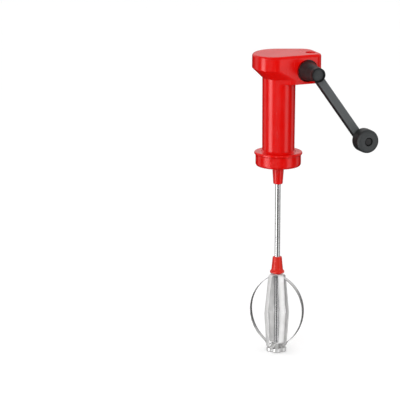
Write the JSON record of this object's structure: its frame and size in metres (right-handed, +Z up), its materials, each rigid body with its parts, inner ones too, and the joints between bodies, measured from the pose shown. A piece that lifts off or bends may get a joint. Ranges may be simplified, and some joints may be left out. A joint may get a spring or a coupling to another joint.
{
  "type": "hand crank blender",
  "caption": "Hand-held drink mixer: a side crank turns a long rod through gears in a flat-topped head, spinning a whisk of bent steel strips on a lobed foot.",
  "frame": {"origin": "centre of the foot's underside, on the spindle's axis", "axes": "+Z up along the spindle, +X toward the gear case's far end, -Y out of the flat side that carries the crank"},
  "size_m": [0.1234, 0.0954, 0.3401],
  "materials": {
    "red_gloss": "glossy red moulded plastic",
    "cone_red": "glossy orange-red moulded plastic",
    "black_plastic": "black plastic with a fine moulded texture",
    "whisk_steel": "polished stainless strip",
    "rod_steel": "bright ground steel",
    "fastener_steel": "plain zinc-plated steel",
    "dark_steel": "blackened steel",
    "gear_nylon": "natural nylon",
    "bush_bronze": "sintered bronze",
    "seal_rubber": "soft rubber"
  },
  "bodies": {
    "housing": {"body_shell": "red_gloss", "top_cover": "red_gloss", "oil_plug": "red_gloss", "case_screws": "fastener_steel", "bottom_cap": "red_gloss", "rod_upper_bush": "bush_bronze", "rod_lower_bush": "bush_bronze", "nozzle_seal": "seal_rubber", "crank_bush": "bush_bronze", "lay_washer": "fastener_steel"},
    "crank": {"crank_hub": "black_plastic", "crank_arm": "black_plastic", "hub_cap": "black_plastic", "hub_screw": "fastener_steel", "crank_axle": "rod_steel", "crank_bevel": "gear_nylon", "bevel_pin": "fastener_steel", "knob_washer": "gear_nylon", "knob_pin": "dark_steel"},
    "knob_drum": {"knob": "black_plastic"},
    "lay_unit": {"lay_shaft": "rod_steel", "lay_bevel": "gear_nylon", "lay_gear": "gear_nylon"},
    "spindle": {"drive_rod": "rod_steel", "rod_pinion": "gear_nylon", "pinion_pin": "fastener_steel", "rod_clip": "fastener_steel", "whisk_cone": "cone_red", "whisk_outer_loop": "whisk_steel", "whisk_inner_loop_a": "whisk_steel", "whisk_inner_loop_b": "whisk_steel", "whisk_washer": "fastener_steel", "whisk_foot": "whisk_steel", "foot_rivet": "fastener_steel"}
  },
  "joints": [
    {"name": "crank_turn", "type": "hinge", "parent": "housing", "child": "crank", "pos_m": [0.02438, 0, 0.3226], "axis": [0, -1, 0], "continuous": true},
    {"name": "knob_spin", "type": "hinge", "parent": "crank", "child": "knob_drum", "pos_m": [0.08021, -0.055, 0.24574], "axis": [0, -1, 0], "continuous": true},
    {"name": "lay_turn", "type": "hinge", "parent": "housing", "child": "lay_unit", "pos_m": [0.02438, 0, 0.3226], "axis": [0, 0, 1], "continuous": true},
    {"name": "spindle_turn", "type": "hinge", "parent": "housing", "child": "spindle", "pos_m": [0, 0, 0.3], "axis": [0, 0, 1], "continuous": true}
  ],
  "couplings": [
    {"joint": "lay_turn", "follows": "crank_turn", "ratio": 2},
    {"joint": "spindle_turn", "follows": "crank_turn", "ratio": -3.2}
  ]
}
